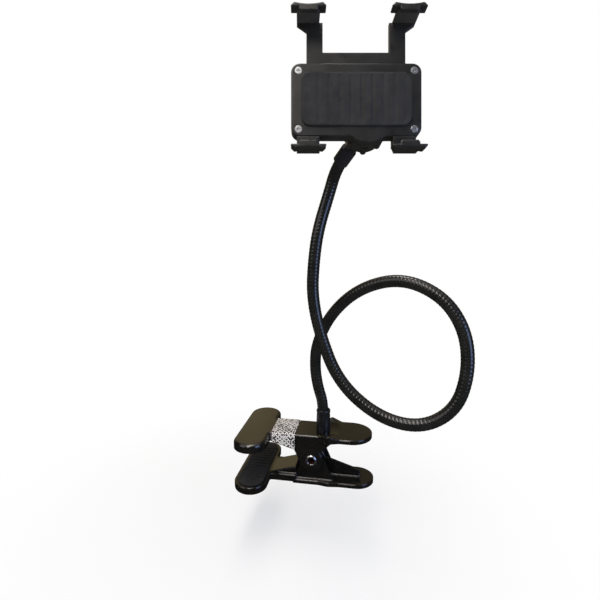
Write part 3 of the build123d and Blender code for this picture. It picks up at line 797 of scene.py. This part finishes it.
@dataclass
class WeaveBand:
    """The woven band round the neck of the upper jaw, thread by thread."""

    start: float = 12.5 * MM
    end: float = 30.6 * MM
    half_width: float = 12.75 * MM
    top: float = 7.0 * MM
    under_start: float = 0.85 * MM
    under_end: float = -4.38 * MM
    gap: float = 0.2 * MM
    thickness: float = 0.85 * MM
    corner: float = 1.9 * MM
    thread: float = 1.15 * MM
    relief: float = 0.3 * MM
    step: float = 0.125 * MM
    deepening: float = 12.0 * MM
    lining: float = 0.02 * MM
    rim_rings: int = 5
    rim_share: float = 0.35
    thread_level: float = 0.62
    thread_swing: float = 0.38
    stray_share: float = 0.14
    stray_cells: int = 512
    seed: int = 7

    def section(self, x: float, around: np.ndarray) -> tuple[np.ndarray, np.ndarray]:
        """The band's middle surface at one place along the neck.

        Args:
            x: place along the neck.
            around: shares of the way round, 0 to 1.

        Returns:
            Points as (y, z), and the outward direction at each.
        """
        share = (x - self.start) / (self.end - self.start)
        under = self.under_start + (self.under_end - self.under_start) * share - self.gap
        high = self.top + self.gap
        half_w = self.half_width + self.gap
        mid_z, half_h = (high + under) / 2, (high - under) / 2
        radius = self.corner
        arc, half_h_run, half_w_run = math.pi / 2 * radius, 2 * (half_h - radius), 2 * (half_w - radius)
        total = 2 * half_h_run + 4 * arc + 2 * half_w_run
        ways, outs = np.empty((2, len(around), 2))
        left = around * total
        for quarter, (sy, sz) in enumerate(CORNERS):
            side = half_h_run if quarter % 2 == 0 else half_w_run
            angle = quarter * math.pi / 2
            along = np.array((-math.sin(angle), math.cos(angle)))
            centre = np.array((sy * (half_w - radius), mid_z + sz * (half_h - radius)))
            turn = angle + np.clip((left - side) / radius, 0.0, math.pi / 2)
            out = np.column_stack([np.cos(turn), np.sin(turn)])
            here = left >= 0
            outs[here] = out[here]
            ways[here] = (centre + out * radius - along * np.maximum(side - left, 0.0)[:, None])[here]
            left = left - side - arc
        return ways, outs

    def weave(self, across: np.ndarray, along: np.ndarray) -> tuple[np.ndarray, np.ndarray]:
        """Height and tone of two families of threads that cross on the bias.

        Args:
            across: places across the band.
            along: places along the band, as an array of the same shape.

        Returns:
            Heights from 0 to 1, and 1 for a silver thread or 0 for a black one.
        """
        first = (across + along) / (self.thread * math.sqrt(2))
        second = (across - along) / (self.thread * math.sqrt(2))
        row, column = np.floor(first).astype(int), np.floor(second).astype(int)
        round_first = np.sqrt(np.maximum(0.0, 1 - (2 * (first - row) - 1) ** 2))
        round_second = np.sqrt(np.maximum(0.0, 1 - (2 * (second - column) - 1) ** 2))
        over = np.where((row + column) % 2 == 0, 1.0, -1.0)
        lift = np.sin(math.pi * (first - row)) * np.sin(math.pi * (second - column)) * over
        high_first = round_first * (self.thread_level + self.thread_swing * lift)
        high_second = round_second * (self.thread_level - self.thread_swing * lift)
        rng, cells = np.random.default_rng(self.seed), self.stray_cells
        strays = rng.random((2, cells, cells))[:, row % cells, column % cells] < self.stray_share
        silver_first, silver_second = ~strays[0], (column % 2 > 0) ^ strays[1]
        on_top = high_first >= high_second
        silver = np.where(on_top, silver_first, silver_second)
        return np.maximum(high_first, high_second), silver.astype(float)

    def build(self) -> bpy.types.Object:
        """Make the band.

        Returns:
            The new piece.
        """
        count_x = int((self.end - self.start) / self.step)
        length = 4 * self.half_width + 2 * (self.top - self.under_start) + self.deepening
        count_round = int(length / self.step)
        around = np.arange(count_round) / count_round
        rows, tones, crests = [], [], []
        for ring, index in enumerate((*range(count_x + 1), count_x, 0)):
            x = self.start + (self.end - self.start) * index / count_x
            ways, outs = self.section(x, around)
            if ring <= count_x:
                height, silver = self.weave(np.full(count_round, x), around * length)
                rim = min(1.0, math.sqrt(min(index, count_x - index) / self.rim_rings))
                edge = self.thickness * (self.rim_share + (1 - self.rim_share) * rim)
                lift = edge - self.relief + self.relief * height
            else:
                height = silver = np.zeros(count_round)
                lift = np.full(count_round, self.lining)
            rows.append(np.column_stack([np.full(count_round, x), ways + outs * lift[:, None]]))
            tones.append(silver)
            crests.append(height)
        shape = Shape().rings(np.array(rows), loop=True)
        piece = shape.build("woven_band_threads", BAND_WEAVE, 180.0)
        for name, values in (("silver", tones), ("crest", crests)):
            attribute = piece.data.attributes.new(name, "FLOAT", "POINT")
            attribute.data.foreach_set("value", np.concatenate(values).astype(np.float32))
        return piece


@dataclass
class SpringClamp:
    """The two jaws, their pads, the rivet, the closing spring and the woven band."""

    places: Places
    band: WeaveBand = field(default_factory=WeaveBand)
    body_half: float = 12.75 * MM
    rivet_shank: float = 3.0 * MM
    rivet_bore: float = 2.1 * MM
    rivet_head: float = 4.3 * MM
    rivet_rise: float = 1.4 * MM
    wire: float = 1.6 * MM
    coil_radius: float = 4.3 * MM
    coil_turns: float = 4 + 8 / 9
    coil_pitch: float = 2.0 * MM
    coil_points: int = 28
    first_angle: float = -20.0
    leg_length: float = 17.6 * MM
    leg_points: int = 20
    tip_taper: float = 0.7
    wire_sides: int = 14
    rivet_sides: int = 64
    head_points: int = 17
    pad_edge: float = 0.35 * MM
    rib_pitch: float = 4.0 * MM
    rib_depth: float = 0.4 * MM

    def build(self) -> None:
        """Make and dress the clamp."""
        dress(GLOSS_BLACK, "upper_jaw", "lower_jaw")
        self.rivet()
        self.jaw_pad("upper_jaw_pad", "clamp", Vector((0, 0, -1)))
        self.jaw_pad("lower_jaw_pad", "lower", Vector((0, 0, 1)))
        self.closing_spring()
        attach(settle(self.band.build(), "band_fabric", "woven_band"), "clamp")

    def jaw_pad(self, node: str, body: str, facing: Vector) -> None:
        """Make one ribbed grip pad.

        Args:
            node: CAD node that it replaces.
            body: body that it rides on.
            facing: direction of its grip face.
        """
        low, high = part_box(node)
        size = high - low
        pad = PadForm(size.y, size.x, size.x / 2, size.z, self.pad_edge, groove_pitch=self.rib_pitch,
                      groove_depth=self.rib_depth, corner_steps=14, side_step=0.3 * MM, inner_rings=8)
        long_way = Vector((0, 1, 0))
        turned = Matrix((long_way, facing.cross(long_way), facing)).transposed().to_4x4()
        turned.translation = (low + high) / 2 - facing * size.z / 2
        shape = Shape().rings(placed(pad.points(), turned))
        piece = settle(shape.build(node + "_ribbed", PAD_RUBBER), "pad_rubber", node)
        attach(piece, body)

    def rivet(self) -> None:
        """Make the hollow rivet with a rolled, domed head at each end."""
        pivot = self.places.at("clamp_hinge")
        middle, half = (self.rivet_head + self.rivet_bore) / 2, (self.rivet_head - self.rivet_bore) / 2
        arc = np.linspace(0, math.pi, self.head_points)
        head = np.column_stack([middle + half * np.cos(arc),
                                self.body_half + self.rivet_rise * np.sin(arc)])
        shank = np.array([(self.rivet_shank, self.body_half)])
        side = np.concatenate([shank, head])
        profile = np.concatenate([side * (1, -1), side[::-1]])
        turn = np.arange(self.rivet_sides) * 2 * math.pi / self.rivet_sides
        points = np.stack([pivot.x + profile[:, :1] * np.cos(turn), pivot.y + profile[:, 1:] + 0 * turn,
                           pivot.z + profile[:, :1] * np.sin(turn)], axis=-1)
        shape = Shape().rings(points, loop=True)
        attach(settle(shape.build("pivot_rivet_rolled", CHROME), "rivet_chrome", "pivot_rivet"), "clamp")

    def closing_spring(self) -> None:
        """Make the torsion spring: a coil between the jaws, with a straight leg at each end."""
        pivot = self.places.at("clamp_hinge")
        half = self.coil_pitch * self.coil_turns / 2
        turns = np.linspace(0, self.coil_turns, int(self.coil_points * self.coil_turns) + 1)
        angle = math.radians(self.first_angle) - turns * 2 * math.pi
        coil = np.column_stack([pivot.x + self.coil_radius * np.cos(angle),
                                pivot.y - half + turns * self.coil_pitch,
                                pivot.z + self.coil_radius * np.sin(angle)])
        reach = np.linspace(0, self.leg_length, self.leg_points)[1:, None]
        near_leg, far_leg = (end + (end - before) / np.linalg.norm(end - before) * reach
                             for end, before in ((coil[0], coil[1]), (coil[-1], coil[-2])))
        line = np.concatenate([near_leg[::-1], coil, far_leg])
        radii = np.full(len(line), self.wire / 2)
        radii[[0, -1]] *= self.tip_taper
        shape = Shape().rings(tube_rings(line, radii, self.wire_sides))
        piece = settle(shape.build("closing_spring_wire", SPRING_STEEL), "spring_steel", "torsion_spring")
        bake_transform(piece)


# ---- the arm


@dataclass
class GooseneckArm:
    """The ribbed arm between its two ferrules, in three lengths."""

    places: Places
    foot: Point = (50.0 * MM, 0.0, 7.0 * MM)
    radius: float = 4.0 * MM
    rib_pitch: float = 2.4 * MM
    rib_depth: float = 0.14 * MM
    rib_shape: float = 0.6
    rings_per_rib: int = 10
    route_steps: int = 40
    crease: float = 75.0
    sides: int = 40
    seat: float = 19.0 * MM
    last_corner: float = 30.5 * MM
    low_top: float = 70.0 * MM
    high_foot: float = 52.0 * MM
    low_bend: Span = (24.0 * MM, 62.0 * MM)
    high_bend: Span = (60.0 * MM, 27.0 * MM)
    corners: tuple[Point, ...] = (
        (0.0, 0.0, 3.0), (0.0, 0.0, 20.5), (-4.2, -1.5, 34.0), (-6.3, -2.6, 50.0), (-4.9, -3.9, 67.5),
        (6.0, -8.2, 91.0), (26.0, -16.0, 110.1), (52.3, -25.5, 118.1), (76.3, -35.2, 108.6),
        (89.3, -42.3, 89.4), (91.7, -46.9, 65.5), (85.2, -49.2, 41.8), (65.1, -48.5, 28.4),
        (38.9, -43.1, 31.9), (13.6, -35.1, 50.6), (0.4, -27.9, 80.2), (-5.3, -24.4, 105.0),
        (-4.5, -24.0, 127.0), (-2.0, -22.4, 148.0), (4.3, -16.6, 171.3),
    )

    def route(self) -> list[Vector]:
        """Corner points of the arm's route.

        Returns:
            The points in order, from the arm's foot to its seat in the upper ferrule.
        """
        ball, stud = self.places.at("ball_swivel"), self.places.axis("ball_swivel")
        points = [Vector(self.foot) + Vector(corner) * MM for corner in self.corners]
        return points + [ball - stud * self.last_corner, ball - stud * self.seat]

    def radii(self, along: np.ndarray) -> np.ndarray:
        """Radius of the skin: a strip wound in a screw line shows through it as ribs.

        Args:
            along: distance along the arm of each ring.

        Returns:
            One radius for each ring and side.
        """
        turn = np.arange(self.sides) / self.sides
        phase = along[:, None] / self.rib_pitch - turn[None, :]
        crest = np.abs(np.sin(math.pi * phase)) ** self.rib_shape
        return self.radius - self.rib_depth * (1 - crest)

    def build(self) -> None:
        """Make and dress the arm and its ferrules."""
        dress(FERRULE_BLACK, "base_ferrule", "top_ferrule")
        dress(ZINC, "base_washer", "base_nut")
        route = smooth_route(self.route(), self.route_steps)
        line, along = even_steps(route, self.rib_pitch / self.rings_per_rib)
        rings = tube_rings(line, self.radii(along), self.sides)
        low_end = int(np.argmax(along > self.low_top))
        high_start = int(np.argmax(along > along[-1] - self.high_foot))
        log.info("arm is %.1f mm long", along[-1] / MM)
        low = self.length("arm_skin_foot", rings[:low_end + 1])
        middle = self.length("arm_skin_loop", rings[low_end:high_start + 1])
        high = self.length("arm_skin_head", rings[high_start:])
        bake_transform(low)
        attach(middle, "gooseneck")
        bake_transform(high)

    def length(self, name: str, rings: np.ndarray) -> bpy.types.Object:
        """One length of the skin.

        Args:
            name: name of the piece.
            rings: its rings of points.

        Returns:
            The new piece.
        """
        piece = Shape().rings(rings).build(name, ARM_SKIN, self.crease)
        return settle(piece, "arm_skin", "gooseneck_sleeve", "gooseneck_core")


# ---- the ball joint and the cradle


class BallJoint:
    """The ball, its seat and socket, and the lobed ring nut."""

    def build(self) -> None:
        """Dress the joint."""
        dress(BALL_BLACK, "ball_stud")
        dress(NYLON, "ball_seat")
        dress(SATIN_BLACK, "ball_socket", "ring_nut")


@dataclass
class SprungCradle:
    """The two halves of the cradle, its soft pads and the springs that draw the halves together."""

    places: Places
    middle: float = -6.5 * MM
    claw_spacing: float = 53.2 * MM
    lining_width: float = 12.0 * MM
    lining_corner: float = 0.8 * MM
    lining_crown: float = 0.05 * MM
    rest_corner: float = 5.0 * MM
    rest_crown: float = 0.25 * MM
    rest_pitch: float = 6.0 * MM
    rest_groove: float = 0.35 * MM
    soft_edge: float = 0.3 * MM
    spring_spacing: float = 41.0 * MM
    spring_level: float = 12.5 * MM
    spring_posts: Span = (-5.0 * MM, 25.0 * MM)
    spring_radius: float = 1.2 * MM
    spring_wire: float = 0.35 * MM
    spring_turns: int = 34
    coil_points: int = 14
    loop_share: float = 0.92
    loop_points: int = 24
    wire_sides: int = 8
    columns: Span = (-0.5, 0.5)
    frame_of: Matrix = field(init=False)

    def __post_init__(self) -> None:
        """Take the cradle's frame from the joints."""
        self.frame_of = self.places.cradle()

    def build(self) -> None:
        """Make and dress the cradle."""
        dress(SATIN_BLACK, "holder_back", "holder_cover", "upper_slide")
        dress(ZINC, "cover_screws")
        self.rest_pad()
        self.claw_linings("lower_claw_pads", "holder", 1.0)
        self.claw_linings("upper_claw_pads", "jaw", -1.0)
        self.springs()

    def rest_pad(self) -> None:
        """Make the soft pad on the front plate."""
        low, high = box_in("rest_pad", self.frame_of)
        size, centre = high - low, (high + low) / 2
        pad = PadForm(size[0], size[1], self.rest_corner, size[2], 2 * self.soft_edge, self.rest_crown,
                      self.rest_pitch, self.rest_groove, side_step=0.4 * MM, inner_rings=14)
        points = pad.points() + np.array((centre[0], centre[1], low[2]))
        shape = Shape().rings(placed(points, self.frame_of))
        piece = settle(shape.build("rest_pad_foam", PAD_RUBBER), "pad_rubber", "rest_pad")
        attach(piece, "holder")

    def claw_linings(self, node: str, body: str, side: float) -> None:
        """Make the soft linings of a pair of claws.

        Args:
            node: CAD node that they replace.
            body: body that they ride on.
            side: 1 where they face up the cradle, -1 where they face down.
        """
        low, high = box_in(node, self.frame_of)
        size = high - low
        pad = PadForm(self.lining_width, size[2], self.lining_corner, size[1], self.soft_edge,
                      self.lining_crown, side_step=0.6 * MM, inner_rings=6, corner_steps=4)
        facing = np.array((0.0, side, 0.0))
        right = np.array((1.0, 0.0, 0.0))
        shape = Shape()
        for column in self.columns:
            turned = Matrix((right, np.cross(facing, right), facing)).transposed().to_4x4()
            turned.translation = (self.middle + column * self.claw_spacing, low[1] if side > 0 else high[1],
                                  (low[2] + high[2]) / 2)
            shape.rings(placed(placed(pad.points(), turned), self.frame_of))
        piece = settle(shape.build(node + "_foam", PAD_RUBBER), "pad_rubber", node)
        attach(piece, body)

    def springs(self) -> None:
        """Make the two tension springs, each a coil with a loop at each end."""
        foot, head = self.spring_posts
        loop = self.spring_radius
        turns = np.linspace(0, self.spring_turns, self.spring_turns * self.coil_points + 1)
        rise = foot + loop + (head - foot - 2 * loop) * turns / self.spring_turns
        ring = np.linspace(0, 2 * math.pi * self.loop_share, self.loop_points)
        shape = Shape()
        for column in self.columns:
            x = self.middle + column * self.spring_spacing
            angle = turns * 2 * math.pi
            coil = np.column_stack([x + loop * np.cos(angle), rise,
                                    self.spring_level + loop * np.sin(angle)])
            low_loop = np.column_stack([x + loop * np.sin(ring), foot + loop * np.cos(ring),
                                        np.full(len(ring), self.spring_level)])
            high_loop = np.column_stack([np.full(len(ring), x), head - loop * np.cos(ring),
                                         self.spring_level + loop * np.sin(ring)])
            for line in (coil, low_loop, high_loop):
                shape.rings(tube_rings(placed(line, self.frame_of), self.spring_wire, self.wire_sides))
        piece = settle(shape.build("slide_spring_coils", SPRING_STEEL), "spring_steel", "slide_springs")
        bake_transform(piece)


# ---- the studio


@dataclass
class Lamp:
    """One soft area lamp."""

    name: str
    at: Point
    aim: Point
    size: Span
    power: float
    colour: Point

    def build(self) -> None:
        """Hang the lamp."""
        data = bpy.data.lights.new(self.name, "AREA")
        data.shape = "RECTANGLE"
        data.size, data.size_y = self.size
        data.energy = self.power
        data.color = self.colour
        made = put(self.name, data)
        made.location = self.at
        made.rotation_euler = (Vector(self.aim) - Vector(self.at)).to_track_quat("-Z", "Y").to_euler()


@dataclass
class Studio:
    """Camera, lamps, pale floor and white background."""

    camera_at: Point = (0.08687, -0.31002, 0.15485)
    camera_turn: Point = (81.0, 0.0, 10.0)
    lens: float = 26.4
    sensor: float = 36.0
    floor_level: float = -75.0 * MM
    floor_reach: float = 14.0
    floor_tone: Colour = (0.95, 0.95, 0.945, 1.0)
    floor_second: Colour = (0.97, 0.97, 0.965, 1.0)
    floor_grain: float = 0.02
    fade: Span = (0.05, 0.27)
    least_white: float = 0.55
    clip: Span = (0.01, 60.0)
    tent_radius: float = 1.7
    tent_lift: float = 1.0 * MM
    tent_rows: int = 12
    tent_columns: int = 48
    cloth_behind: Span = (0.35, 0.85)
    cloth_left: Span = (-0.25, -0.1)
    cloth_overhead: Span = (0.70, 0.86)
    cloth_raised: Span = (0.1, 0.35)
    # the tent's emitted colours, seen only in gloss: painted reflection of a dark room, warm behind the
    # object and pale overhead
    warm_glow: Colour = (0.48, 0.385, 0.21, 1.0)
    warm_least: float = 0.36
    dark_glow: Colour = (0.006, 0.0055, 0.0055, 1.0)
    ceiling_glow: Colour = (0.80, 0.76, 0.72, 1.0)
    ambient: Colour = (0.93, 0.96, 1.0, 1.0)
    ambient_strength: float = 0.3
    lamps: tuple[Lamp, ...] = (
        Lamp("top_lamp", (-0.06, -0.30, 1.05), (-0.06, -0.02, 0.10), (0.28, 1.80), 10.0,
             (1.0, 0.935, 0.885)),
        Lamp("side_lamp", (0.82, -0.46, 0.26), (0.07, -0.03, 0.10), (0.46, 0.60), 3.3, (0.38, 0.54, 1.0)),
        Lamp("fill_lamp", (-0.75, -0.75, 0.75), (0.05, -0.02, 0.10), (0.8, 0.8), 2.6, (1.0, 0.98, 0.96)),
    )

    def build(self) -> None:
        """Set up the studio."""
        self.camera()
        self.world()
        self.floor()
        self.tent()
        for lamp in self.lamps:
            lamp.build()
        bpy.context.scene.view_settings.view_transform = "Standard"

    def camera(self) -> None:
        """Put the camera at the photograph's viewpoint."""
        data = bpy.data.cameras.new("camera")
        data.lens = self.lens
        data.sensor_width = self.sensor
        data.clip_start, data.clip_end = self.clip
        made = put("camera", data)
        made.location = self.camera_at
        made.rotation_euler = [math.radians(angle) for angle in self.camera_turn]
        bpy.context.scene.camera = made

    def world(self) -> None:
        """White background for what is seen directly or in gloss and glass, soft light for the rest."""
        made = bpy.data.worlds.new("studio_world")
        made.use_nodes = True
        bpy.context.scene.world = made
        graph = Graph(made.node_tree)
        seen = self.seen(graph)
        light = graph.add("Background", {"Color": self.ambient, "Strength": self.ambient_strength})
        white = graph.add("Background", {"Color": WHITE, "Strength": 1.0})
        mixed = graph.add("MixShader", {0: seen, 1: light.outputs[0], 2: white.outputs[0]})
        graph.add("OutputWorld", {"Surface": mixed.outputs[0]})

    @staticmethod
    def seen(graph: Graph) -> Socket:
        """1 where a ray comes from the camera, a glossy surface or glass.

        Args:
            graph: material or world being made.

        Returns:
            The share.
        """
        path = graph.add("LightPath").outputs
        return graph.math("MAXIMUM", graph.math("MAXIMUM", path["Is Camera Ray"], path["Is Glossy Ray"]),
                          path["Is Transmission Ray"])

    def floor(self) -> None:
        """Pale floor that takes the shadow near the object and goes over into the white background."""
        reach, level = self.floor_reach, self.floor_level
        corners = ((-1, -1), (1, -1), (1, 1), (-1, 1))
        mesh = bpy.data.meshes.new("floor")
        mesh.from_pydata([(x * reach, y * reach, level) for x, y in corners], [], [(0, 1, 2, 3)])
        put("floor", mesh)
        material, graph = new_material("floor_paper")
        away = graph.add("VectorMath", {0: graph.place}, operation="LENGTH").outputs["Value"]
        fade = graph.add("MapRange", {"Value": away, "From Min": self.fade[0], "From Max": self.fade[1],
                                      "To Min": self.least_white}, interpolation_type="SMOOTHSTEP")
        grain = graph.noise(self.floor_grain, 4.0)
        paper = graph.add("BsdfDiffuse", {"Color": graph.blend(grain, self.floor_tone, self.floor_second)})
        white = graph.add("Emission", {"Color": WHITE, "Strength": 1.0})
        mixed = graph.add("MixShader", {0: fade.outputs["Result"], 1: paper.outputs[0], 2: white.outputs[0]})
        graph.add("OutputMaterial", {"Surface": mixed.outputs[0]})
        mesh.materials.append(material)

    def tent(self) -> None:
        """Glowing tent round the set that only gloss sees: its emitted colour is painted reflection of a
        room, dark, warm behind the object and pale overhead.
        """
        rows, columns, radius = self.tent_rows, self.tent_columns, self.tent_radius
        points: list[Point] = []
        for row in range(rows + 1):
            tilt = row / rows * math.pi / 2
            for column in range(columns):
                turn = column / columns * 2 * math.pi
                points.append((radius * math.cos(tilt) * math.cos(turn),
                               radius * math.cos(tilt) * math.sin(turn),
                               self.floor_level + self.tent_lift + radius * math.sin(tilt)))
        faces: Faces = [tuple(range(columns)), *quads(rows + 1, columns)]
        mesh = bpy.data.meshes.new("dark_tent")
        mesh.from_pydata(points, [], faces)
        made = put("dark_tent", mesh)
        made.visible_camera = made.visible_diffuse = made.visible_shadow = False
        material, graph = new_material("tent_glow")
        place = graph.add("SeparateXYZ", {0: graph.place}).outputs
        behind = graph.spread(place["Y"], 0.0, 1.0, *(radius * edge for edge in self.cloth_behind))
        raised = graph.spread(place["Z"], 0.0, 1.0, *self.cloth_raised)
        leftward = graph.spread(place["X"], 1.0, self.warm_least,
                                *(radius * edge for edge in self.cloth_left))
        share = graph.math("MULTIPLY", leftward, graph.math("MULTIPLY", behind, raised))
        overhead = graph.spread(place["Z"], 0.0, 1.0, *(radius * edge for edge in self.cloth_overhead))
        tone = graph.blend(overhead, graph.blend(share, self.dark_glow, self.warm_glow), self.ceiling_glow)
        # the tent glows with this colour and only glossy rays see it: painted reflection
        cloth = graph.add("Emission", {"Color": tone, "Strength": 1.0})
        graph.add("OutputMaterial", {"Surface": cloth.outputs[0]})
        mesh.materials.append(material)


def main() -> None:
    """Build the studio and the holder, piece by piece."""
    logging.basicConfig(level=logging.INFO, format="%(name)s: %(message)s")
    places = Places(frame["joints"])
    Studio().build()
    for assembly in (GooseneckArm(places), SpringClamp(places), BallJoint(), SprungCradle(places)):
        assembly.build()
        log.info("%s done", type(assembly).__name__)


if __name__ == "__main__":
    main()
